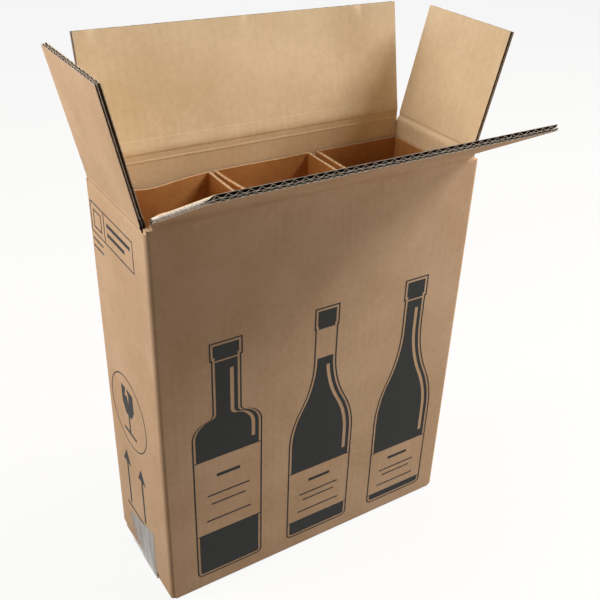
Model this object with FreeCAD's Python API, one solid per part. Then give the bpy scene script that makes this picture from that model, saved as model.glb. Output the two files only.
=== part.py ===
import FreeCAD, Part
import math
import os

from FreeCAD import Vector

# Shipping carton for three bottles, of double-wall corrugated board, with its four top flaps open
# and three single-wall board sleeves inside, one for each bottle.
# The origin is at the centre of the base, on the surface the carton stands on. +Z is up, +X runs
# along the long sides, and the printed long side faces -Y.

# Carton
inner_length = 305.0
inner_depth = 108.0
board = 6.0
corner_radius = 4.0
fold_radius = 4.0
minor_crease_height = 390.0
blank_edge_height = 499.0

# Top flaps: gaps, and how far each one is open, in degrees above level with its free edge outside
flap_clearance = 0.25
flap_side_inset = 6.6
fold_back_angle = 45.0
front_flap_angle = 29.5
back_flap_angle = 79.0
left_flap_angle = 77.8
right_flap_angle = 76.0

# Corner slots of the blank. The top ones end level with the narrow sides' creases.
bottom_slot_width = 5.0
bottom_slot_height = 4.0

# Corrugated board, seen at the flaps' free edges: a coarse flute inside and a fine one outside
inner_liner = 0.45
middle_liner = 0.4
outer_liner = 0.45
coarse_flute_height = 2.9
coarse_flute_pitch = 7.9
fine_flute_pitch = 5.8
flute_wall = 0.4
flute_side_land = 4.0
crushed_crease_length = 8.0
crushed_edge_width = 3.5
crushed_edge_depth = 2.0

# Bottom, closed by two full layers of flaps, and the tape over its seam
seam_gap = 1.0
major_end_inset = 1.5
tape_width = 60.0
tape_thickness = 0.2
tape_end_low = 41.0
tape_end_high = 61.0
tape_shift = 4.0

# Glued joint of the carton: a lap pressed flat on the inside of the left wall
carton_lap_width = 35.0
carton_lap_thickness = 2.5
carton_lap_end_gap = 12.0

# Bottle sleeves
sleeve_width = 95.0
sleeve_depth = 105.0
sleeve_height = 364.0
sleeve_board = 3.0
sleeve_corner_radius = 3.0
sleeve_side_clearance = 0.3
sleeve_gap_left = 7.0
sleeve_gap_right = 6.2
sleeve_lap_width = 25.0
sleeve_lap_thickness = 2.0
sleeve_lap_end_gap = 6.0

# Ink
ink = 0.15
print_line = 1.3
figure_base_height = 16.5
figure_draw_in = 2.5
figure_corner_radius = 6.0
figure_fill_gap = 2.2
highlight_inset = 7.0
highlight_width = 3.8
highlight_end_gap = 9.0
cap_ring_gap = 1.6
label_line = 0.9
label_bar = 1.5
label_title_bar = 3.4
neck_band_height = 31.0

# The three bottle figures, with heights from each one's foot
straight_body_width = 69.0
straight_body_top = 168.0
straight_neck_width = 28.0
straight_neck_base = 191.0
straight_cap_base = 245.0
straight_cap_width = 31.0
straight_height = 263.0
straight_label_low = 53.0
straight_label_high = 143.5
sloping_body_width = 72.0
sloping_body_top = 118.0
sloping_neck_width = 24.0
sloping_neck_base = 211.0
sloping_cap_base = 244.0
sloping_cap_width = 26.0
sloping_height = 266.0
sloping_label_low = 19.5
sloping_label_high = 86.0
sparkling_body_width = 71.0
sparkling_body_top = 108.0
sparkling_neck_width = 24.0
sparkling_neck_base = 214.0
sparkling_cap_base = 246.0
sparkling_cap_width = 27.0
sparkling_height = 268.0
sparkling_label_low = 10.0
sparkling_label_high = 69.0

# Handling symbols and the frame on the left wall
symbol_line = 1.1
circle_diameter = 78.0
circle_height = 181.0
circle_edge_margin = 11.0
glass_width = 25.0
glass_bowl_height = 29.0
glass_stem_width = 2.6
glass_stem_height = 19.0
glass_foot_width = 27.0
glass_foot_height = 3.0
arrow_spacing = 34.0
arrow_tip_height = 126.0
arrow_bottom_height = 58.0
arrow_head_width = 17.0
arrow_head_height = 15.5
arrow_shaft_width = 3.2
arrow_bar_overhang = 10.0
arrow_bar_thickness = 2.4
arrow_bar_height = 54.0
frame_crease_margin = 19.0
frame_height = 28.0
frame_back_margin = 6.0
frame_front_margin = 26.0
frame_divider_width = 29.0
frame_bar_margin = 6.0
small_bar_drop = 7.0
small_bar_width = 22.0
small_bar_height = 1.6

# Worked out from the sizes above
outer_length = inner_length + 2 * board
outer_depth = inner_depth + 2 * board
half_length = outer_length / 2
half_depth = outer_depth / 2
floor_height = 2 * board
foot_radius = board / 2
crease_step = board + flap_clearance
front_crease_height = minor_crease_height + crease_step
back_crease_height = front_crease_height + crease_step
slot_bottom = minor_crease_height
tape_front = tape_shift - tape_width / 2
tape_back = tape_shift + tape_width / 2
sleeve_right_x = half_length - board - sleeve_side_clearance - sleeve_width / 2
sleeve_middle_x = sleeve_right_x - sleeve_width - sleeve_gap_right
sleeve_left_x = sleeve_middle_x - sleeve_width - sleeve_gap_left

X_AXIS = Vector(1, 0, 0)
Y_AXIS = Vector(0, 1, 0)
Z_AXIS = Vector(0, 0, 1)
ORIGIN = Vector(0, 0, 0)


def block(x0, x1, y0, y1, z0, z1):
    """A box between two corners."""
    return Part.makeBox(x1 - x0, y1 - y0, z1 - z0, Vector(x0, y0, z0))


def polygon_face(points):
    """A flat face through the points, in order."""
    return Part.Face(Part.makePolygon(points + [points[0]]))


def rounded_block(x0, x1, y0, y1, z0, z1, radius):
    """A box whose four upright edges are rounded."""
    solid = block(x0, x1, y0, y1, z0, z1)
    upright = [edge for edge in solid.Edges if abs(edge.tangentAt(edge.FirstParameter).z) > 0.99]
    return solid.makeFillet(radius, upright)


def wrap(section_axis, half_span, low, left_top, right_top, run_low, run_high):
    """Two opposite walls and the bottom layer that joins them, with rounded folds.

    The section lies across section_axis, the direction in which the piece runs.
    """
    def point(across, height):
        if section_axis == "x":
            return Vector(run_low, across, height)
        return Vector(across, run_low, height)

    def arc(side):
        bend = fold_radius * (1 - math.sqrt(0.5))
        return Part.Arc(
            point(side * half_span, low + fold_radius),
            point(side * (half_span - bend), low + bend),
            point(side * (half_span - fold_radius), low),
        ).toShape()

    inside = half_span - board
    edges = [
        Part.makeLine(point(-half_span, left_top), point(-half_span, low + fold_radius)),
        arc(-1),
        Part.makeLine(point(-half_span + fold_radius, low), point(half_span - fold_radius, low)),
        arc(1),
        Part.makeLine(point(half_span, low + fold_radius), point(half_span, right_top)),
        Part.makeLine(point(half_span, right_top), point(inside, right_top)),
        Part.makeLine(point(inside, right_top), point(inside, low + board)),
        Part.makeLine(point(inside, low + board), point(-inside, low + board)),
        Part.makeLine(point(-inside, low + board), point(-inside, left_top)),
        Part.makeLine(point(-inside, left_top), point(-half_span, left_top)),
    ]
    face = Part.Face(Part.Wire(Part.__sortEdges__(edges)))
    direction = X_AXIS if section_axis == "x" else Y_AXIS
    return face.extrude(direction * (run_high - run_low))


def wall_top(crease_height):
    """Height of a wall's top, just below the rounded foot of its flap."""
    return crease_height - foot_radius - flap_clearance


def fold_back_bevel(side_angle, half_span, half_run, crease_height):
    """The wedge cut from a wall's outer top edge, so that its flap can fold back."""
    back = math.radians(fold_back_angle)
    reach = foot_radius + flap_clearance
    top = -reach
    outer = foot_radius
    depth = (-reach - outer * math.sin(back)) / math.cos(back)
    inner = (-reach - top * math.cos(back)) / math.sin(back)
    spare = 1.0
    corners = [(inner, top), (outer, depth), (outer + spare, depth), (outer + spare, top + spare),
               (inner, top + spare)]
    face = polygon_face([Vector(out, -half_run, up) for out, up in corners])
    wedge = face.extrude(Y_AXIS * (2 * half_run))
    wedge.translate(Vector(half_span - foot_radius, 0, crease_height))
    wedge.rotate(ORIGIN, Z_AXIS, side_angle)
    return wedge


def carton_body():
    """The folded sheet without its top flaps: four walls, both bottom layers and the glued lap."""
    run = half_length - major_end_inset
    majors = wrap("x", half_depth, 0, wall_top(front_crease_height), wall_top(back_crease_height), -run, run)
    minor_top = wall_top(minor_crease_height)
    minors = wrap("y", half_length, board, minor_top, minor_top, -half_depth, half_depth)
    body = majors.fuse(minors)
    highest = wall_top(back_crease_height)
    body = body.common(rounded_block(-half_length, half_length, -half_depth, half_depth, 0, highest, corner_radius))
    cuts = [
        block(-half_length, half_length, -seam_gap / 2, seam_gap / 2, 0, board),
        block(-seam_gap / 2, seam_gap / 2, -inner_depth / 2, inner_depth / 2, board, floor_height),
        block(-half_length, half_length, tape_front, tape_back, 0, tape_thickness),
    ]
    for side_x in (-1, 1):
        for side_y in (-1, 1):
            cuts.append(corner_cut(side_x, side_y, flap_side_inset, slot_bottom, highest))
            cuts.append(corner_cut(side_x, side_y, bottom_slot_width, 0, bottom_slot_height))
    long_reach = half_length - flap_side_inset
    narrow_reach = half_depth - flap_side_inset
    cuts.append(fold_back_bevel(-90, half_depth, long_reach, front_crease_height))
    cuts.append(fold_back_bevel(90, half_depth, long_reach, back_crease_height))
    cuts.append(fold_back_bevel(0, half_length, narrow_reach, minor_crease_height))
    cuts.append(fold_back_bevel(180, half_length, narrow_reach, minor_crease_height))
    body = body.cut(cuts)
    body = body.fuse(carton_lap())
    return body.removeSplitter()


def corner_cut(side_x, side_y, width, low, high):
    """A square column at one corner of the carton, cut away where the blank is slotted."""
    x_edge = side_x * half_length
    y_edge = side_y * half_depth
    x_in = x_edge - side_x * width
    y_in = y_edge - side_y * width
    return block(min(x_edge, x_in), max(x_edge, x_in), min(y_edge, y_in), max(y_edge, y_in), low, high)


def carton_lap():
    """The glued lap: the back wall's edge, carried round the corner and pressed on the left wall."""
    wall = -half_length + board
    back = inner_depth / 2
    low = floor_height + carton_lap_end_gap
    high = wall_top(minor_crease_height) - carton_lap_end_gap
    taper = carton_lap_end_gap / 2
    face = polygon_face([
        Vector(wall, back, low),
        Vector(wall, back - carton_lap_width, low + taper),
        Vector(wall, back - carton_lap_width, high - taper),
        Vector(wall, back, high),
    ])
    return face.extrude(X_AXIS * carton_lap_thickness)


def flute_row(width, pitch, low, high):
    """Outlines of one flute layer's channels: triangles that point up and down in turn."""
    height = high - low
    slope = math.atan2(height, pitch / 2)
    half_base = pitch / 2 - flute_wall / 2 / math.sin(slope)
    depth = height - flute_wall / 2 / math.cos(slope)
    count = int((width - 2 * flute_side_land - pitch) / (pitch / 2)) + 1
    first = -(count - 1) * pitch / 4
    outlines = []
    for number in range(count):
        middle = first + number * pitch / 2
        base, tip = (high, high - depth) if number % 2 else (low, low + depth)
        corners = [Vector(0, middle - half_base, base), Vector(0, middle + half_base, base), Vector(0, middle, tip)]
        outlines.append(Part.makePolygon(corners + [corners[0]]))
    return outlines


def flap(length, width, crushed_side=False):
    """A top flap lying along +X from its crease on the Y axis, with its inner face up.

    Its foot is rounded about the crease, the board is pressed solid beside it, and open flutes run
    from there to the free edge.
    """
    half = board / 2
    half_width = width / 2
    corners = [Vector(0, -half_width, -half), Vector(0, half_width, -half), Vector(0, half_width, half),
               Vector(0, -half_width, half)]
    middle_high = half - inner_liner - coarse_flute_height
    outlines = [Part.makePolygon(corners + [corners[0]])]
    outlines += flute_row(width, coarse_flute_pitch, middle_high, half - inner_liner)
    outlines += flute_row(width, fine_flute_pitch, outer_liner - half, middle_high - middle_liner)
    section = Part.makeFace(outlines, "Part::FaceMakerBullseye")
    plate = section.extrude(X_AXIS * (length - crushed_crease_length))
    plate.translate(X_AXIS * crushed_crease_length)

    low_foot = Vector(0, -half_width, -half)
    high_foot = Vector(0, -half_width, half)
    low_end = Vector(crushed_crease_length, -half_width, -half)
    high_end = Vector(crushed_crease_length, -half_width, half)
    foot_edges = [
        Part.makeLine(low_foot, low_end),
        Part.makeLine(low_end, high_end),
        Part.makeLine(high_end, high_foot),
        Part.Arc(high_foot, Vector(-foot_radius, -half_width, 0), low_foot).toShape(),
    ]
    foot = Part.Face(Part.Wire(foot_edges)).extrude(Y_AXIS * width)
    solid = plate.fuse(foot)
    if crushed_side:
        wedge = polygon_face([
            Vector(0, -half_width, half),
            Vector(0, -half_width + crushed_edge_width, half),
            Vector(0, -half_width, half - crushed_edge_depth),
        ])
        solid = solid.cut(wedge.extrude(X_AXIS * length))
    return solid.removeSplitter()


def hang(shape, side_angle, half_span, crease_height, angle):
    """Set a flap on its wall: side_angle is the way it points, angle how far it is raised."""
    shape.rotate(ORIGIN, Y_AXIS, -angle)
    shape.translate(Vector(half_span - foot_radius, 0, crease_height))
    shape.rotate(ORIGIN, Z_AXIS, side_angle)
    return shape


def major_flap(side_angle, crease_height, angle, crushed_side):
    """A flap of a long side."""
    solid = flap(blank_edge_height - crease_height, outer_length - 2 * flap_side_inset, crushed_side)
    return hang(solid, side_angle, half_depth, crease_height, angle)


def minor_flap(side_angle, angle):
    """A flap of a narrow side."""
    solid = flap(blank_edge_height - minor_crease_height, outer_depth - 2 * flap_side_inset)
    return hang(solid, side_angle, half_length, minor_crease_height, angle)


def sleeve(centre_x):
    """A folded tube of single-wall board, open at both ends, with its glued lap inside the front."""
    low = floor_height
    high = floor_height + sleeve_height
    half_w = sleeve_width / 2
    half_d = sleeve_depth / 2
    outside = rounded_block(centre_x - half_w, centre_x + half_w, -half_d, half_d, low, high, sleeve_corner_radius)
    inside_w = half_w - sleeve_board
    inside_d = half_d - sleeve_board
    tube = outside.cut(block(centre_x - inside_w, centre_x + inside_w, -inside_d, inside_d, low, high))
    lap = block(
        centre_x - inside_w, centre_x - inside_w + sleeve_lap_width,
        -inside_d, -inside_d + sleeve_lap_thickness,
        low + sleeve_lap_end_gap, high - sleeve_lap_end_gap,
    )
    return tube.fuse(lap).removeSplitter()


def tape(under):
    """Clear tape over the bottom seam, carried up both narrow sides and cut off aslant.

    It lies over the ink given as under, and takes its shape.
    """
    strip = block(-half_length, half_length, tape_front, tape_back, 0, tape_thickness)
    left = side_face([(tape_front, 0), (tape_back, 0), (tape_back, tape_end_low), (tape_front, tape_end_high)])
    right = left.mirror(ORIGIN, X_AXIS)
    ends = [left.extrude(X_AXIS * -tape_thickness), right.extrude(X_AXIS * tape_thickness)]
    return strip.fuse(ends).removeSplitter().cut(under)


def shoulder_edges(low, high, lower_share):
    """Two tangent arcs from a bottle's body up to its neck, upright at both ends."""
    inward = low.x - high.x
    rise = high.z - low.z
    turn = 2 * math.atan2(inward, rise)
    both = rise / math.sin(turn)
    low_radius = lower_share * both
    high_radius = both - low_radius
    low_centre = Vector(low.x - low_radius, 0, low.z)
    high_centre = Vector(high.x + high_radius, 0, high.z)

    def around(centre, radius, angle):
        return centre + Vector(radius * math.cos(angle), 0, radius * math.sin(angle))

    meet = around(low_centre, low_radius, turn)
    return [
        Part.Arc(low, around(low_centre, low_radius, turn / 2), meet).toShape(),
        Part.Arc(meet, around(high_centre, high_radius, math.pi + turn / 2), high).toShape(),
    ]


class Bottle:
    """One bottle figure's own outline, standing at height 0 and centred on x = 0."""

    def __init__(self, body, body_top, neck, neck_base, lower_share, cap_base, cap, height, label, band):
        self.body = body
        self.body_top = body_top
        self.neck = neck
        self.neck_base = neck_base
        self.lower_share = lower_share
        self.cap_base = cap_base
        self.cap = cap
        self.height = height
        self.label = label
        self.band = band

    def outline(self, inset):
        """The outline as a face, drawn in by inset."""
        body = self.body - inset
        neck = self.neck - inset
        cap = self.cap - inset
        round_off = max(figure_corner_radius - inset, 1.0)
        bend = round_off * (1 - math.sqrt(0.5))
        foot = Vector(0, 0, inset)
        foot_edge = Vector(body - round_off, 0, inset)
        body_low = Vector(body, 0, inset + round_off)
        body_high = Vector(body, 0, self.body_top)
        neck_low = Vector(neck, 0, self.neck_base)
        neck_high = Vector(neck, 0, self.cap_base + inset)
        cap_low = Vector(cap, 0, self.cap_base + inset)
        cap_high = Vector(cap, 0, self.height - inset)
        edges = [
            Part.makeLine(foot, foot_edge),
            Part.Arc(foot_edge, Vector(body - bend, 0, inset + bend), body_low).toShape(),
            Part.makeLine(body_low, body_high),
        ]
        edges += shoulder_edges(body_high, neck_low, self.lower_share)
        edges += [
            Part.makeLine(neck_low, neck_high),
            Part.makeLine(neck_high, cap_low),
            Part.makeLine(cap_low, cap_high),
            Part.makeLine(cap_high, Vector(0, 0, self.height - inset)),
        ]
        half = Part.Wire(edges)
        other_half = half.mirror(ORIGIN, X_AXIS)
        return Part.Face(Part.Wire(Part.__sortEdges__(half.Edges + other_half.Edges)))

    def across(self, low, high):
        """A strip over the whole figure between two heights."""
        return flat(-self.body - 1, self.body + 1, low, high)

    def highlight(self):
        """The bare strip that follows the glass's right edge from above the label to the neck."""
        low = self.label[1] + highlight_end_gap
        high = self.band[0] - highlight_end_gap
        strip = self.outline(highlight_inset).cut(self.outline(highlight_inset + highlight_width))
        return strip.common(flat(0, self.body, low, high))

    def drawing(self):
        """Outline and dark glass, with a bare highlight, neck band and label, and bars on the label."""
        line = self.outline(0).cut(self.outline(print_line))
        label_low, label_high = self.label
        bare = [self.across(label_low, label_high), self.across(self.band[0], self.band[1]), self.highlight()]
        fill = self.outline(print_line + figure_fill_gap).cut(bare)
        edge = self.body - print_line
        borders = [
            flat(-edge, edge, label_high - label_line, label_high),
            flat(-edge, edge, label_low, label_low + label_line),
        ]
        return line.fuse(borders).removeSplitter().Faces + fill.Faces + self.label_bars()

    def label_bars(self):
        """A short thick bar and three thin ones, where a label has its words."""
        label_low, label_high = self.label
        bars = []
        for drop, share, thickness in label_bar_rows:
            middle = label_high - drop * (label_high - label_low)
            reach = share * self.body
            bars.append(flat(-reach, reach, middle - thickness / 2, middle + thickness / 2))
        return bars


def flat(x0, x1, z0, z1):
    """An upright rectangle in the plane y = 0."""
    return polygon_face([Vector(x0, 0, z0), Vector(x1, 0, z0), Vector(x1, 0, z1), Vector(x0, 0, z1)])


# Bars on a label: how far down it, how wide as a share of the bottle, and how thick
label_bar_rows = [
    (0.24, 0.34, label_title_bar),
    (0.48, 0.62, label_bar),
    (0.60, 0.50, label_bar),
    (0.82, 0.66, label_bar),
]

# The three common bottle shapes: straight shoulders, sloping shoulders and a heavy sparkling bottle
bottles = [
    Bottle(
        body=straight_body_width / 2,
        body_top=straight_body_top,
        neck=straight_neck_width / 2,
        neck_base=straight_neck_base,
        lower_share=0.75,
        cap_base=straight_cap_base,
        cap=straight_cap_width / 2,
        height=straight_height,
        label=(straight_label_low, straight_label_high),
        band=(straight_cap_base - cap_ring_gap, straight_cap_base),
    ),
    Bottle(
        body=sloping_body_width / 2,
        body_top=sloping_body_top,
        neck=sloping_neck_width / 2,
        neck_base=sloping_neck_base,
        lower_share=0.45,
        cap_base=sloping_cap_base,
        cap=sloping_cap_width / 2,
        height=sloping_height,
        label=(sloping_label_low, sloping_label_high),
        band=(sloping_cap_base - neck_band_height, sloping_cap_base),
    ),
    Bottle(
        body=sparkling_body_width / 2,
        body_top=sparkling_body_top,
        neck=sparkling_neck_width / 2,
        neck_base=sparkling_neck_base,
        lower_share=0.45,
        cap_base=sparkling_cap_base,
        cap=sparkling_cap_width / 2,
        height=sparkling_height,
        label=(sparkling_label_low, sparkling_label_high),
        band=(sparkling_cap_base - cap_ring_gap, sparkling_cap_base),
    ),
]


def front_print():
    """Three bottle figures in dark ink on the long front side, one before each sleeve."""
    centres = [sleeve_left_x + figure_draw_in, sleeve_middle_x, sleeve_right_x - figure_draw_in]
    solids = []
    for bottle, centre in zip(bottles, centres):
        for face in bottle.drawing():
            face.translate(Vector(centre, -half_depth, figure_base_height))
            solids.append(face.extrude(Y_AXIS * -ink))
    return Part.makeCompound(solids)


def side_face(points):
    """A flat face on the left wall, from (y, z) points."""
    return polygon_face([Vector(-half_length, y, z) for y, z in points])


def side_bar(y0, y1, z0, z1):
    """A rectangle on the left wall."""
    return side_face([(y0, z0), (y1, z0), (y1, z1), (y0, z1)])


def side_ring(centre_y, centre_z, radius):
    """A thin ring on the left wall."""
    def disc(size):
        circle = Part.makeCircle(size, Vector(-half_length, centre_y, centre_z), X_AXIS)
        return Part.Face(Part.Wire(circle))

    return disc(radius).cut(disc(radius - symbol_line)).Faces[0]


def broken_glass(centre_y, centre_z):
    """The common handling figure for fragile goods: a stemmed glass with a crack in its bowl."""
    half = glass_width / 2
    top = centre_z + (glass_bowl_height + glass_stem_height + glass_foot_height) / 2
    bowl_low = top - glass_bowl_height
    waist = bowl_low + glass_bowl_height * 0.35
    crack_low = bowl_low + glass_bowl_height * 0.4
    crack_mid = bowl_low + glass_bowl_height * 0.68
    bowl = side_face([
        (centre_y - half, top), (centre_y - half, waist), (centre_y - half * 0.5, bowl_low),
        (centre_y + half * 0.5, bowl_low), (centre_y + half, waist), (centre_y + half, top),
        (centre_y + half * 0.3, top), (centre_y + half * 0.5, crack_mid), (centre_y + half * 0.1, crack_mid + 1),
        (centre_y - half * 0.1, crack_low), (centre_y - half * 0.2, crack_mid + 3), (centre_y + half * 0.1, top),
    ])
    stem_low = bowl_low - glass_stem_height
    half_stem = glass_stem_width / 2
    half_foot = glass_foot_width / 2
    stem = side_bar(centre_y - half_stem, centre_y + half_stem, stem_low, bowl_low)
    foot = side_bar(centre_y - half_foot, centre_y + half_foot, stem_low - glass_foot_height, stem_low)
    return bowl.fuse([stem, foot]).removeSplitter().Faces[0]


def up_arrow(centre_y):
    """One of the two arrows that say which way up the carton goes."""
    half_head = arrow_head_width / 2
    half_shaft = arrow_shaft_width / 2
    neck = arrow_tip_height - arrow_head_height
    return side_face([
        (centre_y, arrow_tip_height), (centre_y - half_head, neck), (centre_y - half_shaft, neck),
        (centre_y - half_shaft, arrow_bottom_height), (centre_y + half_shaft, arrow_bottom_height),
        (centre_y + half_shaft, neck), (centre_y + half_head, neck),
    ])


def side_frame():
    """A plain two-part frame with plain bars in its wide part and two small bars below."""
    back = half_depth - frame_back_margin
    front = -half_depth + frame_front_margin
    top = minor_crease_height - frame_crease_margin
    low = top - frame_height
    divider = back - frame_divider_width
    line = symbol_line
    outer = side_bar(front, back, low, top)
    left_window = side_bar(divider + line / 2, back - line, low + line, top - line)
    right_window = side_bar(front + line, divider - line / 2, low + line, top - line)
    pieces = outer.cut([left_window, right_window]).Faces
    bar_back = divider - frame_bar_margin
    bar_front = front + frame_bar_margin
    for share, end_share in ((0.32, 0.0), (0.62, 0.25)):
        middle = top - share * frame_height
        end = bar_front + end_share * (bar_back - bar_front)
        pieces.append(side_bar(end, bar_back, middle - small_bar_height, middle + small_bar_height))
    tick_low = low + frame_bar_margin
    tick = side_bar(divider + frame_bar_margin, back - frame_bar_margin, tick_low, top - frame_bar_margin)
    window = side_bar(divider + frame_bar_margin + line, back - frame_bar_margin - line, tick_low + line,
                      top - frame_bar_margin - line)
    pieces += tick.cut(window).Faces
    for number in (1, 2):
        middle = low - number * small_bar_drop
        pieces.append(side_bar(back - small_bar_width, back, middle, middle + small_bar_height))
    return pieces


def side_print():
    """Handling figures and a plain frame in dark ink on the narrow left side."""
    symbol_y = half_depth - circle_edge_margin - circle_diameter / 2
    faces = [side_ring(symbol_y, circle_height, circle_diameter / 2), broken_glass(symbol_y, circle_height)]
    faces.append(up_arrow(symbol_y + arrow_spacing / 2))
    faces.append(up_arrow(symbol_y - arrow_spacing / 2))
    reach = arrow_spacing / 2 + arrow_bar_overhang
    faces.append(side_bar(symbol_y - reach, symbol_y + reach, arrow_bar_height - arrow_bar_thickness, arrow_bar_height))
    faces += side_frame()
    return Part.makeCompound([face.extrude(X_AXIS * -ink) for face in faces])


def build():
    """Every piece by its name."""
    side_ink = side_print()
    return {
        "carton_body": carton_body(),
        "front_flap": major_flap(-90, front_crease_height, front_flap_angle, True),
        "back_flap": major_flap(90, back_crease_height, back_flap_angle, False),
        "left_flap": minor_flap(180, left_flap_angle),
        "right_flap": minor_flap(0, right_flap_angle),
        "left_sleeve": sleeve(sleeve_left_x),
        "middle_sleeve": sleeve(sleeve_middle_x),
        "right_sleeve": sleeve(sleeve_right_x),
        "bottom_tape": tape(side_ink),
        "front_print": front_print(),
        "side_print": side_ink,
    }


os.makedirs("parts", exist_ok=True)
for name, shape in build().items():
    shape.exportStep("parts/" + name + ".step")
    print(name, "solids", len(shape.Solids), "valid", shape.isValid(), "volume cm3", round(shape.Volume / 1000, 2))
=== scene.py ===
import math

import bpy
from mathutils import Matrix, Vector, noise

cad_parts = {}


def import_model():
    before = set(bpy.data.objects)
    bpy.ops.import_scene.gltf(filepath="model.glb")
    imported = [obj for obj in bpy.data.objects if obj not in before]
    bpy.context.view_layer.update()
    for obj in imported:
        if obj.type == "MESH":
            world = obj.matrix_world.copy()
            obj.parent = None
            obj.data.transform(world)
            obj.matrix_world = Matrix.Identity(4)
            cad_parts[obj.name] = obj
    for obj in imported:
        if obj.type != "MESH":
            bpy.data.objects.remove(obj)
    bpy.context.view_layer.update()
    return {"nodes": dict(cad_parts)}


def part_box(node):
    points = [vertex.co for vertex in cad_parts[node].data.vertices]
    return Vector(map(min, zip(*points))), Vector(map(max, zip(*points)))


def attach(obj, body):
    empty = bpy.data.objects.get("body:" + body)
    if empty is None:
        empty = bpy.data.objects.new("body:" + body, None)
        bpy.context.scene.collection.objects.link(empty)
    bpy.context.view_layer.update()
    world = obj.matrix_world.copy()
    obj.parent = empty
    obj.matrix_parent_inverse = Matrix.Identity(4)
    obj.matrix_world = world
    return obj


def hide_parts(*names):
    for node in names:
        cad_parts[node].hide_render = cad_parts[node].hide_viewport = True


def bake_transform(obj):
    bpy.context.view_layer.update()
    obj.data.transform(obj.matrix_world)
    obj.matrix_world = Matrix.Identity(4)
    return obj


# Looks of the bottle shipping box: corrugated kraft board with real flutes at its cut edges,
# creased folds, board sleeves, clear tape and dark ink.
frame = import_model()
nodes = frame["nodes"]

MM = 0.001

# The carton, in millimetres
HALF_LENGTH = 158.5
HALF_DEPTH = 60.0
BOARD = 6.0
FLAP_TOP = 499.0
FLAP_SIDE_INSET = 6.6
MINOR_CREASE = 390.0
FRONT_CREASE = 396.25
BACK_CREASE = 402.5

# The carton's inside has its own tone, from this deep in its board
INNER_TONE_DEPTH = 5.0
TONE_BLUR = 0.2

# Papers of the double-wall board, as places of the sheets' middles through its thickness
PAPER = 0.4
COARSE_PITCH = 7.9
FINE_PITCH = 5.8
COARSE_HEIGHT = 2.5
FINE_HEIGHT = 1.4
LINER_PLACE = 2.8
MIDDLE_PLACE = -0.5
COARSE_PLACE = 1.15
FINE_PLACE = -1.65
FLUTE_COLUMNS = 12.0

# The creased strip: how far it reaches each way from the crease, and how much of that turns
FOLD_REACH = 9.5
FOLD_TURN = 7.6
FOLD_ROWS = 26
BOARD_START = 8.0

# Bottle sleeves
SLEEVE_WIDTH = 95.0
SLEEVE_DEPTH = 105.0
SLEEVE_HEIGHT = 364.0
SLEEVE_BOARD = 3.0
SLEEVE_PITCH = 6.3
SLEEVE_CORNER = 1.8
SLEEVE_BENT_DEPTH = 120
SLEEVE_RIM_DEPTH = 6

# Relief of kraft paper, in metres
RIB_RELIEF = 0.00003
MOTTLE_RELIEF = 0.00009
FIBRE_RELIEF = 0.00003
CLOUD_RELIEF = 0.0005

# The tape's haze ends at a line over its side: its place on the floor in metres, and its slope
HAZE_START = 0.008
HAZE_SLOPE = 0.65

# The floor lies this far under the carton, so that the two don't flicker
FLOOR_DROP = 0.0004


class Graph:
    """A node tree with short calls for its nodes and links."""

    def __init__(self, tree):
        self.tree = tree

    def add(self, kind, inputs=None, **settings):
        node = self.tree.nodes.new(kind)
        for name, setting in settings.items():
            setattr(node, name, setting)
        for name, value in (inputs or {}).items():
            self.put(node.inputs[name], value)
        return node

    def put(self, socket, value):
        if isinstance(value, bpy.types.NodeSocket):
            self.tree.links.new(value, socket)
        else:
            socket.default_value = value

    def maths(self, operation, *values, clamp=False):
        node = self.add("ShaderNodeMath", operation=operation, use_clamp=clamp)
        for socket, value in zip(node.inputs, values):
            self.put(socket, value)
        return node.outputs[0]

    def vector(self, operation, *values):
        node = self.add("ShaderNodeVectorMath", operation=operation)
        for socket, value in zip(node.inputs, values):
            self.put(socket, value)
        return node.outputs[0]

    def weighted(self, *parts):
        """The sum of values, each times its weight."""
        total = 0.0
        for value, weight in parts:
            total = self.maths("MULTIPLY_ADD", value, weight, total)
        return total

    def step(self, value, low, high, to_low=0.0, to_high=1.0):
        """A smooth step of value from low to high."""
        node = self.add("ShaderNodeMapRange", interpolation_type="SMOOTHSTEP")
        for name, number in (("From Min", low), ("From Max", high), ("To Min", to_low), ("To Max", to_high)):
            self.put(node.inputs[name], number)
        self.put(node.inputs["Value"], value)
        return node.outputs["Result"]

    def mix(self, share, first, second, blend="MIX"):
        """Two colours mixed."""
        node = self.add("ShaderNodeMix", data_type="RGBA", blend_type=blend)
        self.put(node.inputs[0], share)
        self.put(node.inputs[6], first)
        self.put(node.inputs[7], second)
        return node.outputs[2]

    def noise(self, vector, scale, detail=2.0, roughness=0.5):
        node = self.add("ShaderNodeTexNoise", {"Scale": scale, "Detail": detail, "Roughness": roughness})
        self.put(node.inputs["Vector"], vector)
        return node.outputs["Fac"]

    def relief(self, shader, height, strength=0.5):
        """Bumps of a height in metres, on a shader."""
        bump = self.add("ShaderNodeBump", {"Height": height, "Distance": 1.0, "Strength": strength})
        self.put(shader.inputs["Normal"], bump.outputs["Normal"])


def new_group(name, kind, inputs, outputs):
    """A node group with named sockets: its graph, its inputs by name and its output node."""
    tree = bpy.data.node_groups.new(name, kind)
    for label, socket_type, value in inputs:
        item = tree.interface.new_socket(label, in_out="INPUT", socket_type="NodeSocket" + socket_type)
        if value is not None:
            item.default_value = value
    for label, socket_type in outputs:
        tree.interface.new_socket(label, in_out="OUTPUT", socket_type="NodeSocket" + socket_type)
    return Graph(tree), tree.nodes.new("NodeGroupInput").outputs, tree.nodes.new("NodeGroupOutput").inputs


def linear(red, green, blue, alpha=1.0):
    """A colour written in 0 to 255 as the eye sees it, for a colour socket."""
    def curve(value):
        value /= 255
        return value / 12.92 if value <= 0.04045 else ((value + 0.055) / 1.055) ** 2.4
    return (curve(red), curve(green), curve(blue), alpha)


# ---------------------------------------------------------------- finishes

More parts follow.
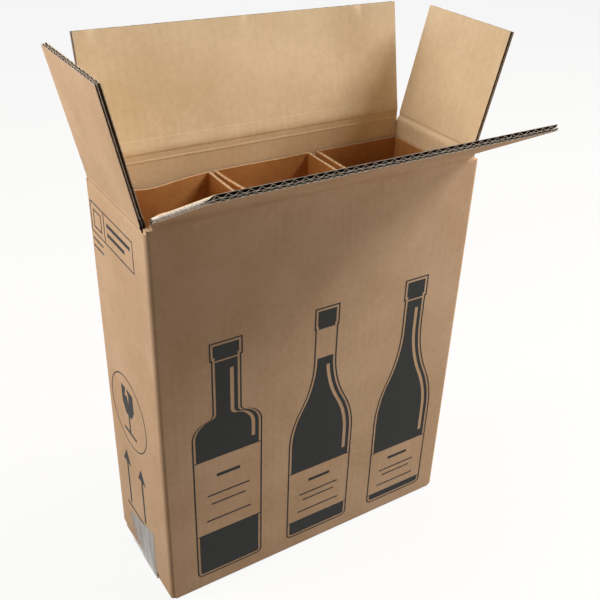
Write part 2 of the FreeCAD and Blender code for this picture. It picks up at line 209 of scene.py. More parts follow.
def fibre_group():
    """Paper's own look: soft cloudy blotches, mottling, and fine fibres. All of it is near 0.5."""
    graph, inputs, outputs = new_group(
        "paper_fibre", "ShaderNodeTree",
        [("Vector", "Vector", None), ("Cloud Size", "Float", 0.06), ("Mottle Size", "Float", 0.006)],
        [("Cloud", "Float"), ("Mottle", "Float"), ("Fibre", "Float"), ("Flecks", "Float")],
    )
    place = inputs["Vector"]
    graph.put(outputs["Cloud"], graph.noise(place, graph.maths("DIVIDE", 1.0, inputs["Cloud Size"]), 3.0))
    graph.put(outputs["Mottle"], graph.noise(place, graph.maths("DIVIDE", 1.0, inputs["Mottle Size"]), 4.0, 0.65))
    graph.put(outputs["Fibre"], graph.noise(place, 1100.0, 2.0, 0.6))
    specks = graph.noise(place, 620.0, 1.0)
    graph.put(outputs["Flecks"], graph.step(specks, 0.70, 0.78))
    return graph.tree


def washboard_group():
    """The faint ribs that a board's flutes press into its face: a wave along one direction, used for their bumps
    and as their painted shade in the paper's colour.
    """
    graph, inputs, outputs = new_group(
        "washboard", "ShaderNodeTree",
        [("Vector", "Vector", None), ("Along", "Float", 0.0), ("Pitch", "Float", 0.0079)],
        [("Wave", "Float")],
    )
    sway = graph.maths("MULTIPLY", graph.noise(inputs["Vector"], 9.0, 1.0), 0.0025)
    turns = graph.maths("DIVIDE", graph.maths("ADD", inputs["Along"], sway), inputs["Pitch"])
    wave = graph.maths("SINE", graph.maths("MULTIPLY", turns, 2 * math.pi))
    patches = graph.step(graph.noise(inputs["Vector"], 14.0, 2.0), 0.35, 0.7)
    graph.put(outputs["Wave"], graph.maths("MULTIPLY", wave, patches))
    return graph.tree


FIBRE = fibre_group()
WASHBOARD = washboard_group()


def new_material(name):
    material = bpy.data.materials.new(name)
    material.use_nodes = True
    graph = Graph(material.node_tree)
    return material, graph, graph.tree.nodes["Principled BSDF"]


def place_of(graph):
    """The pattern's place on the object, and its x, y and z."""
    place = graph.add("ShaderNodeTexCoord").outputs["Object"]
    split = graph.add("ShaderNodeSeparateXYZ", {"Vector": place})
    return place, split.outputs["X"], split.outputs["Y"], split.outputs["Z"]


def attribute(graph, name):
    """A piece's own value at each point, 0 where it has none."""
    return graph.add("ShaderNodeAttribute", attribute_name=name, attribute_type="GEOMETRY").outputs["Fac"]


def fibres(graph, place):
    """The paper fibre group's outputs, in a material."""
    return graph.add("ShaderNodeGroup", {"Vector": place}, node_tree=FIBRE).outputs


def kraft(name, light, dark, ribs, inner=None, torn=False):
    """Kraft paper on board. ribs says which way the flutes are spaced: x, y or by the face's side."""
    material, graph, shader = new_material(name)
    place, x, y = place_of(graph)[:3]
    fibre = fibres(graph, place)
    if ribs == "sides":
        normal = graph.add("ShaderNodeNewGeometry").outputs["Normal"]
        sideways = graph.add("ShaderNodeSeparateXYZ", {"Vector": normal}).outputs["X"]
        facing = graph.step(graph.maths("ABSOLUTE", sideways), 0.45, 0.55)
        along = graph.maths("ADD", graph.maths("MULTIPLY", y, facing),
                            graph.maths("MULTIPLY", x, graph.maths("SUBTRACT", 1.0, facing)))
    else:
        along = x if ribs == "x" else y
    wave = graph.add("ShaderNodeGroup", {"Vector": place, "Along": along}, node_tree=WASHBOARD).outputs["Wave"]

    # cloudy blotches and mottling between the two tones, with the flute ribs' painted shade as faint light and dark
    # stripes, then fibres and ribs
    tone = graph.weighted((fibre["Cloud"], 0.62), (fibre["Mottle"], 0.38), (wave, 0.02))
    share = graph.step(tone, 0.32, 0.68)
    colour = graph.mix(share, dark, light)
    if inner:
        inside = 1.0
        for value, half in ((x, HALF_LENGTH), (y, HALF_DEPTH)):
            start = half - INNER_TONE_DEPTH
            within = graph.step(graph.maths("ABSOLUTE", value), (start + TONE_BLUR) * MM, (start - TONE_BLUR) * MM)
            inside = graph.maths("MULTIPLY", within, inside)
        colour = graph.mix(inside, colour, graph.mix(share, inner[1], inner[0]))
    grain = graph.maths("MULTIPLY_ADD", fibre["Fibre"], 0.16, 0.92)
    colour = graph.mix(1.0, colour, graph.add("ShaderNodeCombineColor", {
        "Red": grain, "Green": grain, "Blue": grain}).outputs["Color"], "MULTIPLY")
    colour = graph.mix(graph.maths("MULTIPLY", fibre["Flecks"], 0.22), colour, linear(120, 84, 52))
    if torn:
        tear = attribute(graph, "torn")
        worn = graph.step(graph.maths("MULTIPLY_ADD", fibre["Mottle"], 0.5, tear), 0.62, 0.9)
        colour = graph.mix(worn, colour, linear(238, 228, 214))
    graph.put(shader.inputs["Base Color"], colour)
    graph.put(shader.inputs["Roughness"], graph.maths("MULTIPLY_ADD", fibre["Mottle"], 0.2, 0.68))
    shader.inputs["Specular IOR Level"].default_value = 0.22

    graph.relief(shader, graph.weighted((wave, RIB_RELIEF), (fibre["Mottle"], MOTTLE_RELIEF),
                                        (fibre["Fibre"], FIBRE_RELIEF), (fibre["Cloud"], CLOUD_RELIEF)), 0.55)
    return material


def plain_paper(name, light, dark, size, depth=0.0001):
    """Bare or cut paper: two tones, with fibres at a given size."""
    material, graph, shader = new_material(name)
    place = place_of(graph)[0]
    grain = graph.noise(place, 1 / size, 3.0, 0.7)
    fine = graph.noise(place, 2600.0, 1.0)
    share = graph.step(graph.weighted((grain, 0.7), (fine, 0.3)), 0.35, 0.65)
    graph.put(shader.inputs["Base Color"], graph.mix(share, dark, light))
    shader.inputs["Roughness"].default_value = 0.9
    shader.inputs["Specular IOR Level"].default_value = 0.15
    graph.relief(shader, graph.maths("MULTIPLY", grain, depth), 0.6)
    return material


def printing_ink():
    """Dark ink that has sunk into the paper: the fibres and ribs show through faintly."""
    material, graph, shader = new_material("printing_ink")
    fibre = fibres(graph, place_of(graph)[0])
    thin = graph.step(graph.weighted((fibre["Mottle"], 0.6), (fibre["Fibre"], 0.4)), 0.52, 0.78)
    graph.put(shader.inputs["Base Color"], graph.mix(thin, linear(24, 24, 23), linear(52, 46, 40)))
    graph.put(shader.inputs["Roughness"], graph.maths("MULTIPLY_ADD", fibre["Mottle"], 0.25, 0.5))
    shader.inputs["Specular IOR Level"].default_value = 0.3
    graph.relief(shader, graph.maths("MULTIPLY", fibre["Mottle"], 0.00008))
    return material


def packing_tape():
    """Clear tape that has greyed: streaks of trapped air and small wrinkles along it.

    It is hazy in front of a slanting line and clearer behind it.
    """
    material, graph, shader = new_material("clear_tape")
    place, _, y, z = place_of(graph)
    drawn = graph.add("ShaderNodeMapping", {"Vector": place, "Scale": (1.0, 3.0, 0.35)}).outputs["Vector"]
    streaks = graph.noise(drawn, 60.0, 4.0, 0.6)
    blisters = graph.noise(place, 260.0, 3.0, 0.6)
    greys = graph.mix(graph.step(streaks, 0.35, 0.7), linear(176, 168, 158), linear(206, 200, 192))
    graph.put(shader.inputs["Base Color"], greys)
    graph.put(shader.inputs["Roughness"], graph.maths("MULTIPLY_ADD", blisters, 0.25, 0.22))
    haze = graph.step(graph.weighted((blisters, 0.3), (streaks, 0.7)), 0.3, 0.7, 0.5, 0.82)
    edge = graph.maths("SUBTRACT", graph.maths("MULTIPLY_ADD", z, HAZE_SLOPE, HAZE_START), y)
    edge = graph.maths("MULTIPLY_ADD", graph.maths("SUBTRACT", streaks, 0.5), 0.02, edge)
    graph.put(shader.inputs["Alpha"], graph.maths("MULTIPLY", haze, graph.step(edge, -0.005, 0.006, 0.2, 1.0)))
    shader.inputs["Coat Weight"].default_value = 0.4
    shader.inputs["Coat Roughness"].default_value = 0.18
    graph.relief(shader, graph.weighted((streaks, 0.0005), (blisters, 0.00012)))
    return material


OUTSIDE_TONES = (linear(212, 177, 144), linear(196, 160, 125))
INSIDE_TONES = (linear(229, 204, 168), linear(214, 187, 148))
SLEEVE_TONES = (linear(190, 134, 76), linear(170, 115, 61))
carton_kraft = kraft("carton_kraft", *OUTSIDE_TONES, ribs="sides", inner=INSIDE_TONES)
outside_long = kraft("outside_kraft_long", *OUTSIDE_TONES, ribs="x", torn=True)
outside_narrow = kraft("outside_kraft_narrow", *OUTSIDE_TONES, ribs="y", torn=True)
inside_long = kraft("inside_kraft_long", *INSIDE_TONES, ribs="x", torn=True)
inside_narrow = kraft("inside_kraft_narrow", *INSIDE_TONES, ribs="y", torn=True)
sleeve_kraft = kraft("sleeve_kraft", *SLEEVE_TONES, ribs="sides")
flute_paper = plain_paper("flute_paper", linear(116, 90, 66), linear(90, 68, 48), 0.002)
cut_edge = plain_paper("cut_edge", linear(204, 192, 176), linear(150, 134, 118), 0.0012)
sleeve_edge = plain_paper("sleeve_cut_edge", linear(222, 192, 154), linear(196, 160, 118), 0.0012)
torn_paper = plain_paper("torn_paper", linear(236, 226, 214), linear(128, 108, 90), 0.0011, 0.0006)


# ---------------------------------------------------------------- board with real flutes

def paper_sheet_group():
    """One paper sheet of a board: flat for a liner and waved for a flute, along a centre line.

    The line runs across the flutes, and the sheet stands up from it along +Z. A flute has narrow
    crests and wide troughs, with a crest at each end of the line.
    """
    graph, inputs, outputs = new_group(
        "paper_sheet", "GeometryNodeTree",
        [("Centre Line", "Geometry", None), ("Run", "Float", 0.1), ("Rows", "Int", 12), ("Columns", "Int", 100),
         ("Flutes", "Float", 0.0), ("Wave", "Float", 0.0), ("Place", "Float", 0.0), ("Number", "Int", 0)],
        [("Sheet", "Geometry")],
    )
    grid = graph.add("GeometryNodeMeshGrid", {"Size X": inputs["Run"], "Size Y": 1.0,
                                              "Vertices X": inputs["Rows"], "Vertices Y": inputs["Columns"]})
    spot = graph.add("ShaderNodeSeparateXYZ", {"Vector": graph.add("GeometryNodeInputPosition").outputs[0]})
    share = graph.maths("ADD", spot.outputs["Y"], 0.5, clamp=True)
    sample = graph.add("GeometryNodeSampleCurve", {"Curves": inputs["Centre Line"], "Factor": share}, mode="FACTOR")
    turns = graph.maths("MULTIPLY", graph.maths("MULTIPLY", share, inputs["Flutes"]), math.pi)
    valley = graph.maths("POWER", graph.maths("ABSOLUTE", graph.maths("SINE", turns)), 0.8)
    swing = graph.maths("MULTIPLY_ADD", valley, -2.0, 1.0)
    off = graph.maths("MULTIPLY_ADD", swing, inputs["Wave"], inputs["Place"])
    up = graph.maths("MULTIPLY_ADD", inputs["Run"], 0.5, spot.outputs["X"])
    moved = graph.vector("ADD", sample.outputs["Position"], graph.add(
        "ShaderNodeVectorMath", {"Scale": off, 0: sample.outputs["Normal"]}, operation="SCALE").outputs[0])
    moved = graph.vector("ADD", moved, graph.add("ShaderNodeCombineXYZ", {"Z": up}).outputs[0])
    placed = graph.add("GeometryNodeSetPosition", {"Geometry": grid.outputs["Mesh"], "Position": moved})
    marked = graph.add("GeometryNodeStoreNamedAttribute", {
        "Geometry": placed.outputs[0], "Name": "sheet", "Value": inputs["Number"]}, data_type="INT", domain="FACE")
    graph.put(outputs["Sheet"], marked.outputs[0])
    return graph.tree


PAPER_SHEET = paper_sheet_group()


def board_group(name, sheets):
    """A whole board of liners and flutes. Each sheet is (columns per millimetre, pitch, wave, place)."""
    graph, inputs, outputs = new_group(
        name, "GeometryNodeTree",
        [("Centre Line", "Geometry", None), ("Run", "Float", 0.1), ("Rows", "Int", 12), ("Closed", "Bool", False),
         ("First Liner", "Material", None), ("Last Liner", "Material", None), ("Flute", "Material", None)],
        [("Board", "Geometry")],
    )
    line = graph.add("GeometryNodeSetCurveNormal", {"Curve": inputs["Centre Line"]}, mode="Z_UP").outputs[0]
    length = graph.add("GeometryNodeCurveLength", {"Curve": line}).outputs["Length"]
    joined = graph.add("GeometryNodeJoinGeometry")
    for number, (columns, pitch, wave, place) in enumerate(sheets):
        flutes = graph.maths("ROUND", graph.maths("DIVIDE", length, pitch * MM))
        count = graph.maths("ROUND", graph.maths("MULTIPLY", length, columns / MM))
        if wave:
            count = graph.maths("ADD", graph.maths("MULTIPLY", flutes, FLUTE_COLUMNS), 1.0)
        sheet = graph.add("GeometryNodeGroup", {
            "Centre Line": line, "Run": inputs["Run"], "Rows": inputs["Rows"], "Columns": count, "Flutes": flutes,
            "Wave": wave * MM, "Place": place * MM, "Number": number}, node_tree=PAPER_SHEET)
        graph.put(joined.inputs[0], sheet.outputs[0])
    closed = graph.add("GeometryNodeMergeByDistance", {"Geometry": joined.outputs[0], "Distance": 0.00001,
                                                       "Selection": inputs["Closed"]})
    real = graph.add("GeometryNodeRealizeInstances", {"Geometry": closed.outputs[0]}).outputs[0]
    named = graph.add("GeometryNodeInputNamedAttribute", {"Name": "sheet"}, data_type="INT")
    painted = graph.add("GeometryNodeSetMaterial", {"Geometry": real, "Material": inputs["Flute"]}).outputs[0]
    for paper, number in (("First Liner", 0), ("Last Liner", len(sheets) - 1)):
        chosen = graph.add("FunctionNodeCompare", data_type="INT", operation="EQUAL")
        graph.put(chosen.inputs[2], named.outputs["Attribute"])
        graph.put(chosen.inputs[3], number)
        painted = graph.add("GeometryNodeSetMaterial", {"Geometry": painted, "Material": inputs[paper],
                                                        "Selection": chosen.outputs[0]}).outputs[0]
    graph.put(outputs["Board"], painted)
    return graph.tree


DOUBLE_WALL = board_group("double_wall_board", [
    (0.4, 8.0, 0.0, -LINER_PLACE),
    (1.0, FINE_PITCH, FINE_HEIGHT / 2, FINE_PLACE),
    (0.4, 8.0, 0.0, MIDDLE_PLACE),
    (1.0, COARSE_PITCH, COARSE_HEIGHT / 2, COARSE_PLACE),
    (0.4, 8.0, 0.0, LINER_PLACE),
])
SINGLE_WALL = board_group("single_wall_board", [
    (0.8, 8.0, 0.0, -(SLEEVE_BOARD - PAPER) / 2),
    (1.0, SLEEVE_PITCH, SLEEVE_BOARD / 2 - PAPER, 0.0),
    (0.8, 8.0, 0.0, (SLEEVE_BOARD - PAPER) / 2),
])


def new_object(name, data):
    piece = bpy.data.objects.new(name, data)
    bpy.context.scene.collection.objects.link(piece)
    return piece


def new_mesh(name, points, faces, *materials):
    mesh = bpy.data.meshes.new(name)
    mesh.from_pydata(points, [], faces)
    for material in materials:
        mesh.materials.append(material)
    return mesh


def grid_faces(first, rows, columns):
    """The faces of a grid whose points are numbered row by row from first."""
    faces = []
    for row in range(rows):
        for column in range(columns):
            corner = first + row * (columns + 1) + column
            faces.append((corner, corner + 1, corner + columns + 2, corner + columns + 1))
    return faces


def plain_mesh(piece, name):
    """The piece with its modifiers made real, as a new plain mesh object at the origin."""
    bpy.context.view_layer.update()
    graph = bpy.context.evaluated_depsgraph_get()
    mesh = bpy.data.meshes.new_from_object(piece.evaluated_get(graph))
    mesh.name = name
    result = new_object(name, mesh)
    bpy.data.objects.remove(piece)
    return result


def centre_line(points, closed):
    """A straight-sided curve through points in millimetres, for a board to follow."""
    curve = bpy.data.curves.new("centre_line", "CURVE")
    curve.dimensions = "3D"
    spline = curve.splines.new("POLY")
    spline.points.add(len(points) - 1)
    for point, (x, y) in zip(spline.points, points):
        point.co = (x * MM, y * MM, 0.0, 1.0)
    spline.use_cyclic_u = closed
    return new_object("centre_line", curve)


def corrugated(name, tree, points, closed, run, rows, first, last, flute):
    """A board along a centre line: thin papers with real flutes, as one plain mesh."""
    line = centre_line(points, closed)
    nodes_modifier = line.modifiers.new("board", "NODES")
    nodes_modifier.node_group = tree
    values = {"Run": run * MM, "Rows": rows, "Closed": closed,
              "First Liner": first, "Last Liner": last, "Flute": flute}
    for item in tree.interface.items_tree:
        if item.item_type == "SOCKET" and item.in_out == "INPUT" and item.name in values:
            nodes_modifier[item.identifier] = values[item.name]
    return plain_mesh(line, name)


def thicken(piece, edge, thickness=PAPER):
    """Give every sheet its paper's thickness, with the cut edge's own material."""
    piece.data.materials.append(edge)
    solid = piece.modifiers.new("paper", "SOLIDIFY")
    solid.thickness = thickness * MM
    solid.offset = 0.0
    solid.use_rim = True
    solid.material_offset_rim = len(piece.data.materials)
    result = plain_mesh(piece, piece.name)
    mesh = result.data
    mesh.polygons.foreach_set("use_smooth", [True] * len(mesh.polygons))
    mesh.set_sharp_from_angle(angle=math.radians(40))
    return result


def fill_attribute(mesh, name, values):
    layer = mesh.attributes.get(name) or mesh.attributes.new(name, "FLOAT", "POINT")
    layer.data.foreach_set("value", values)


# ---------------------------------------------------------------- flaps and their folds

class Side:
    """One side of the carton: where its crease is, which way it faces and how far its flap is open."""

    def __init__(self, name, turn, half_span, crease, width, angle, pressed, held_face, groove, outside, inside):
        self.name = name
        self.crease = crease
        self.width = width
        self.angle = angle
        self.pressed = pressed
        self.held = held_face * BOARD / 2
        self.groove = groove
        self.outside = outside
        self.inside = inside
        self.length = FLAP_TOP - crease
        self.facing = Matrix.Rotation(math.radians(turn), 4, "Z")
        self.axis_out = half_span - BOARD / 2

    def press(self, depth, share=1.0):
        """A depth in the board once the board is pressed thinner, with one of its faces held."""
        return self.held + (depth - self.held) * (1 - (1 - self.pressed) * share)

    def place(self, along, across, depth, bend):
        """A point of the side's board, in metres: along from the crease, across, and depth inwards.

        bend is how far the board has turned there, from 0 in the wall's plane to 1 in the flap's.
        """
        turned = math.radians(90 - self.angle) * bend
        out = along * math.sin(turned) - depth * math.cos(turned)
        up = along * math.cos(turned) + depth * math.sin(turned)
        return self.facing @ Vector(((self.axis_out + out) * MM, across * MM, (self.crease + up) * MM))


LONG_WIDTH = 2 * (HALF_LENGTH - FLAP_SIDE_INSET)
NARROW_WIDTH = 2 * (HALF_DEPTH - FLAP_SIDE_INSET)
SIDES = [
    Side("front", -90, HALF_DEPTH, FRONT_CREASE, LONG_WIDTH, 29.5, 0.85, 1, 0.0, outside_long, inside_long),
    Side("back", 90, HALF_DEPTH, BACK_CREASE, LONG_WIDTH, 79.0, 0.9, 1, -5.0, outside_long, inside_long),
    Side("left", 180, HALF_LENGTH, MINOR_CREASE, NARROW_WIDTH, 77.8, 0.72, -1, 0.5, outside_narrow, inside_narrow),
    Side("right", 0, HALF_LENGTH, MINOR_CREASE, NARROW_WIDTH, 76.0, 0.72, 1, 5.5, outside_narrow, inside_narrow),
]


def smooth(value):
    value = min(max(value, 0.0), 1.0)
    return value * value * (3 - 2 * value)


# The front flap's crushed edge: how far in it starts, and the depth that it is pressed towards
CRUSH_REACH = 8.0
CRUSH_FACE = -1.9


def crushed_edge(along, across, depth, half):
    """The front flap's crushed left edge: pressed thin against its outer face, and ragged."""
    pinch = smooth(1 - (half + across) / CRUSH_REACH)
    rough = noise.noise(Vector((along * 0.3, 0.0, 3.0)))
    depth = CRUSH_FACE + (depth - CRUSH_FACE) * (1 - 0.55 * pinch) + 0.3 * rough * pinch
    across += 0.5 * noise.noise(Vector((along * 0.45, depth * 2, 9.0))) * pinch
    return depth, across, pinch


def flap_board(side):
    """A top flap from just beyond its fold to its free edge."""
    half = side.width / 2
    piece = corrugated(side.name + "_flap_board", DOUBLE_WALL, [(0, -half), (0, half)], False,
                       side.length - BOARD_START, 16, side.outside, side.inside, flute_paper)
    mesh = piece.data
    torn = []
    for vertex in mesh.vertices:
        depth, across, along = (value / MM for value in vertex.co)
        depth = side.press(depth)
        tear = 0.0
        seed = Vector((across * 0.35, depth * 2.0, side.crease))
        edge = side.length - BOARD_START - along
        if edge < 0.01:
            along -= 0.35 * abs(noise.noise(seed))
        for start, wide, deep in NICKS.get(side.name, ()):
            near = math.exp(-((across - start) / wide) ** 2 - (edge / NICK_REACH) ** 2)
            if depth > 0:
                depth -= deep * near
        if side.name == "front":
            depth, across, tear = crushed_edge(along + BOARD_START, across, depth, half)
        torn.append(tear)
        vertex.co = side.place(along + BOARD_START, across, depth, 1.0)
    fill_attribute(mesh, "torn", torn)
    return thicken(piece, cut_edge, 0.3)


# Nicks in a flap's free edge: where along it, how wide and how deep, and how far they reach in
NICK_REACH = 2.5
NICKS = {
    "back": ((-112.0, 3.5, 1.6), (4.0, 2.5, 1.0), (136.0, 3.0, 1.4)),
    "right": ((-30.0, 2.0, 0.8),),
}


def fold_profile(side, along):
    """Depths of the outer and inner faces over a fold: a soft bead outside and a score line inside."""
    ends = smooth((FOLD_REACH - abs(along)) / 1.0)
    flap_share = smooth((along + FOLD_REACH) / (2 * FOLD_REACH))
    outer = side.press(-BOARD / 2, flap_share) + 0.12 - 0.2 * ends
    inner = side.press(BOARD / 2, flap_share) - 0.12 + 0.2 * ends
    outer -= 0.5 * math.exp(-((along - 1.2) / 1.5) ** 2)
    outer += 0.45 * math.exp(-((along + 2.6) / 1.6) ** 2)
    inner -= 1.0 * math.exp(-((along - side.groove) / 1.9) ** 2)
    inner += 0.25 * math.exp(-((along - side.groove + 4.4) / 2.2) ** 2)
    return outer, inner


def fold(side):
    """The creased strip between a wall and its flap: outer, middle and inner papers that bend together."""
    half = side.width / 2
    rows = [-FOLD_REACH + number * 2 * FOLD_REACH / FOLD_ROWS for number in range(FOLD_ROWS + 1)]
    columns = max(8, round(side.width / 3))
    points, faces, materials, torn = [], [], [], []
    for sheet in range(3):
        first = len(points)
        for along in rows:
            outer, inner = fold_profile(side, along)
            bend = smooth((along + FOLD_TURN) / (2 * FOLD_TURN))
            for column in range(columns + 1):
                across = -half + side.width * column / columns
                ripple = noise.noise(Vector((across * 0.06, along * 0.12, side.crease + 40 * sheet)))
                inside = 1.0 - smooth(abs(along) / FOLD_REACH)
                depths = (outer + PAPER / 2, (outer + inner) / 2, inner - PAPER / 2)
                depth = depths[sheet] + (0.12 if sheet != 1 else 0.6) * ripple * inside
                tear = 0.0
                if side.name == "front":
                    share = smooth((along + 3) / 8)
                    crushed, _, pinch = crushed_edge(along, across, depth, half)
                    depth += (crushed - depth) * share
                    tear = pinch * share
                torn.append(tear)
                points.append(side.place(along, across, depth, bend))
        faces += grid_faces(first, FOLD_ROWS, columns)
        materials += [sheet] * (FOLD_ROWS * columns)
    mesh = new_mesh(side.name + "_fold", points, faces, side.outside, flute_paper, side.inside)
    mesh.polygons.foreach_set("material_index", materials)
    fill_attribute(mesh, "torn", torn)
    mesh.update()
    return thicken(new_object(side.name + "_fold", mesh), cut_edge)


def torn_edge(side):
    """The inner liner's torn white edge, rolled over the front flap's crushed left side."""
    def rough(*place):
        return noise.noise(Vector(place))

    half = side.width / 2
    rows, columns = 130, 8
    points = []
    for row in range(rows + 1):
        along = BOARD_START - 2.0 + (side.length - BOARD_START + 1.6) * row / rows
        reach = 3.0 + 2.2 * rough(along * 0.35, 0.0, 5.0) + 1.9 * rough(along * 1.3, 2.0, 5.0)
        drop = 1.1 + 1.2 * rough(along * 0.5, 0.0, 8.0) + 1.0 * rough(along * 1.7, 1.0, 8.0)
        for column in range(columns + 1):
            share = column / columns
            over = max(0.0, 1 - share / 0.6)
            under = max(0.0, (share - 0.6) / 0.4)
            across = -half + reach * over - 0.45 * math.sin(math.pi * under)
            depth = crushed_edge(along, max(across, -half), side.press(BOARD / 2), half)[0]
            lift = 0.22 + 0.3 * max(0.0, rough(along * 1.1, across * 1.1, 2.0))
            points.append(side.place(along, across, depth + lift * (1 - under) - drop * under, 1.0))
    mesh = new_mesh("front_torn_edge", points, grid_faces(0, rows, columns), torn_paper)
    return thicken(new_object("front_torn_edge", mesh), torn_paper, 0.2)


for side in SIDES:
    board = flap_board(side)
    crease = fold(side)
    body = side.name + "_flap"
    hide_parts(body)
    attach(board, body)
    start = side.place(-FOLD_TURN, 0, 0, 0.0)
    end = side.place(FOLD_TURN, 0, 0, 1.0)
    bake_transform(crease)
torn_strip = torn_edge(SIDES[0])
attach(torn_strip, "front_flap")


# ---------------------------------------------------------------- sleeves

def rounded_loop(width, depth, radius, steps=4):
    """A rectangle with rounded corners, centred, in millimetres."""
    points = []
    for number, (sx, sy) in enumerate(((1, -1), (1, 1), (-1, 1), (-1, -1))):
        centre = (sx * (width / 2 - radius), sy * (depth / 2 - radius))
        for step in range(steps + 1):
            angle = math.radians(-90 + 90 * number + 90 * step / steps)
            points.append((centre[0] + radius * math.cos(angle), centre[1] + radius * math.sin(angle)))
    return points


def divided(points, longest):
    """A closed loop with more points, so that no part of it is longer than longest."""
    result = []
    for number, first in enumerate(points):
        second = points[(number + 1) % len(points)]
        parts = max(1, math.ceil(math.dist(first, second) / longest))
        for part in range(parts):
            share = part / parts
            result.append((first[0] + (second[0] - first[0]) * share, first[1] + (second[1] - first[1]) * share))
    return result


class Sleeve:
    """One folded tube of single-wall board, with walls that bow, dip and lean a little at the top."""

    def __init__(self, name, seed, bow_back=0.5, dip=0.0, bow_side=0.5, lean=0.0):
        low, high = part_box(name)
        self.name = name
        self.seed = seed
        self.bow_back, self.dip, self.bow_side, self.lean = bow_back, dip, bow_side, lean
        self.centre = (low + high) / 2
        self.low = low.z
        self.wall_x = (SLEEVE_WIDTH - SLEEVE_BOARD) / 2
        self.wall_y = (SLEEVE_DEPTH - SLEEVE_BOARD) / 2
        self.loop = rounded_loop(2 * self.wall_x, 2 * self.wall_y, SLEEVE_CORNER)

    def bent(self, x, y, up):
        """Where a point of the straight sleeve ends up, in metres."""
        upper = smooth(1 - (SLEEVE_HEIGHT - up) / SLEEVE_BENT_DEPTH)
        rim = smooth(1 - (SLEEVE_HEIGHT - up) / SLEEVE_RIM_DEPTH)
        near = 1.7
        for sign in (1, -1):
            if sign * y > self.wall_y - near:
                y = sign * self.wall_y + (y - sign * self.wall_y) * (1 - 0.5 * rim)
            if sign * x > self.wall_x - near:
                x = sign * self.wall_x + (x - sign * self.wall_x) * (1 - 0.15 * rim)
        belly_x = max(0.0, 1 - (x / self.wall_x) ** 2)
        belly_y = max(0.0, 1 - (y / self.wall_y) ** 2)
        if x < 0:
            x -= self.lean * upper * smooth((y + 10) / self.wall_y) * smooth(-x / self.wall_x)
        if y > self.wall_y - 3:
            y -= self.bow_back * belly_x * upper
            up -= self.dip * rim * math.exp(-((x + 12) / 22) ** 2)
        if x > self.wall_x - 3:
            x -= self.bow_side * belly_y * upper
        up -= 0.5 * rim * abs(noise.noise(Vector((x * 0.13, y * 0.13, self.seed))))
        return Vector((x * MM + self.centre.x, y * MM + self.centre.y, up * MM + self.low))

    def walls(self):
        piece = corrugated(self.name + "_board", SINGLE_WALL, self.loop, True, SLEEVE_HEIGHT, 28,
                           sleeve_kraft, sleeve_kraft, flute_paper)
        for vertex in piece.data.vertices:
            vertex.co = self.bent(*(value / MM for value in vertex.co))
        return thicken(piece, sleeve_edge)

    def rim(self):
        """The crushed paper that closes the flutes just below the sleeve's top edge."""
        loop = divided(self.loop, 3.0)
        half = SLEEVE_BOARD / 2 - PAPER / 2
        points, faces = [], []
        for number, here in enumerate(loop):
            before, after = loop[number - 1], loop[(number + 1) % len(loop)]
            run = math.dist(before, after)
            across = ((after[1] - before[1]) / run, (before[0] - after[0]) / run)
            for side in (-half, 0.0, half):
                rough = noise.noise(Vector((here[0] * 0.3, here[1] * 0.3, side + self.seed)))
                up = SLEEVE_HEIGHT - 0.25 - 0.5 * abs(rough)
                points.append(self.bent(here[0] + side * across[0], here[1] + side * across[1], up))
        for number in range(len(loop)):
            first, second = 3 * number, 3 * ((number + 1) % len(loop))
            for part in range(2):
                faces.append((first + part, second + part, second + part + 1, first + part + 1))
        mesh = new_mesh(self.name + "_rim", points, faces, sleeve_edge)
        mesh.polygons.foreach_set("use_smooth", [True] * len(faces))
        return new_object(self.name + "_rim", mesh)

    def build(self):
        walls, rim = self.walls(), self.rim()
        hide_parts(self.name)
        for piece in (walls, rim):
            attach(piece, "carton")


Sleeve("left_sleeve", 1.0, bow_back=4.5, dip=3.2).build()
Sleeve("middle_sleeve", 2.0, lean=4.0).build()
Sleeve("right_sleeve", 3.0, bow_back=0.4, bow_side=0.4).build()


# ---------------------------------------------------------------- pieces kept from the solid model

def set_material(name, material):
    nodes[name].data.materials.clear()
    nodes[name].data.materials.append(material)


ink = printing_ink()
set_material("carton_body", carton_kraft)
set_material("front_print", ink)
set_material("side_print", ink)
set_material("bottom_tape", packing_tape())


# ---------------------------------------------------------------- floor, light and camera

def background_rays(graph):
    """1 for the rays that show the floor and the world themselves, and 0 for those that light the object."""
    rays = graph.add("ShaderNodeLightPath").outputs
    mirrored = graph.maths("MAXIMUM", rays["Is Glossy Ray"], rays["Is Transmission Ray"])
    return graph.maths("MAXIMUM", rays["Is Camera Ray"], mirrored)


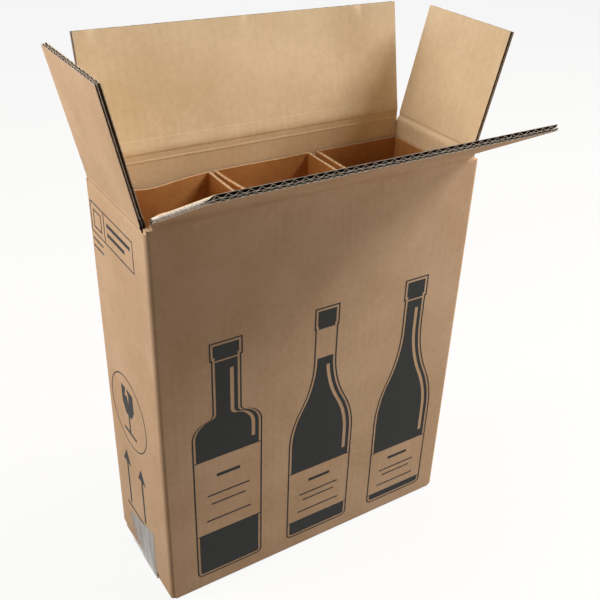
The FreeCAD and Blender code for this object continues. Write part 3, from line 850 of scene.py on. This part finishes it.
def floor():
    """A pale floor: white to the eye, with the object's soft shadow."""
    reach = 6.0
    corners = [(-reach, -reach, 0), (reach, -reach, 0), (reach, reach, 0), (-reach, reach, 0)]
    mesh = new_mesh("floor", corners, [(0, 1, 2, 3)])
    piece = new_object("floor", mesh)
    piece.location.z = -FLOOR_DROP
    material = bpy.data.materials.new("pale_floor")
    material.use_nodes = True
    graph = Graph(material.node_tree)
    graph.tree.nodes.remove(graph.tree.nodes["Principled BSDF"])
    diffuse = graph.add("ShaderNodeBsdfDiffuse", {"Color": linear(118, 107, 93)}).outputs[0]
    white = graph.add("ShaderNodeEmission", {"Color": (0.985, 0.995, 1.0, 1), "Strength": 1.62}).outputs[0]
    share = graph.maths("MULTIPLY", background_rays(graph), 0.56)
    mixed = graph.add("ShaderNodeMixShader", {0: share, 1: diffuse, 2: white}).outputs[0]
    graph.put(graph.tree.nodes["Material Output"].inputs["Surface"], mixed)
    mesh.materials.append(material)


def area_light(name, place, target, size, power):
    data = bpy.data.lights.new(name, "AREA")
    data.shape = "RECTANGLE"
    data.size, data.size_y = size
    data.energy = power
    lamp = new_object(name, data)
    lamp.location = place
    lamp.rotation_euler = (Vector(target) - Vector(place)).to_track_quat("-Z", "Y").to_euler()


def world():
    """A little light from all round, with plain white behind the object."""
    sky = bpy.data.worlds.new("studio")
    bpy.context.scene.world = sky
    sky.use_nodes = True
    graph = Graph(sky.node_tree)
    soft = graph.add("ShaderNodeBackground", {"Color": (1.0, 0.86, 0.68, 1), "Strength": 0.02}).outputs[0]
    white = graph.add("ShaderNodeBackground", {"Color": (1, 1, 1, 1), "Strength": 1.0}).outputs[0]
    mixed = graph.add("ShaderNodeMixShader", {0: background_rays(graph), 1: soft, 2: white}).outputs[0]
    graph.put(graph.tree.nodes["World Output"].inputs["Surface"], mixed)


def camera():
    """The camera, at the photograph's place and angle."""
    data = bpy.data.cameras.new("camera")
    data.sensor_width = 36.0
    data.lens = 51.087
    data.shift_x = -0.0534
    data.shift_y = 0.0482
    data.clip_start = 0.01
    piece = new_object("camera", data)
    right = Vector((0.8322969, -0.5521028, 0.0496435))
    up = Vector((0.2624439, 0.4713450, 0.8419959))
    back = Vector((-0.4882675, -0.6877619, 0.5371949))
    turn = Matrix((right, up, back)).transposed().to_4x4()
    piece.matrix_world = Matrix.Translation((-0.35944, -0.57883, 0.66237)) @ turn
    bpy.context.scene.camera = piece


floor()
world()
area_light("key_right", (1.61, -0.46, 1.87), (0, 0, 0.35), (0.9, 0.9), 60)
area_light("left_panel", (-1.05, 0.28, 0.85), (-0.15, 0, 0.35), (0.5, 0.9), 13.2)
area_light("overhead", (0.1, 0.2, 2.0), (0, 0, 0.35), (0.8, 0.8), 8.0)
area_light("low_fill", (0.64, -0.54, 0.35), (0.15, 0, 0.28), (0.35, 0.35), 2.6)

camera()
bpy.context.scene.view_settings.view_transform = "Standard"
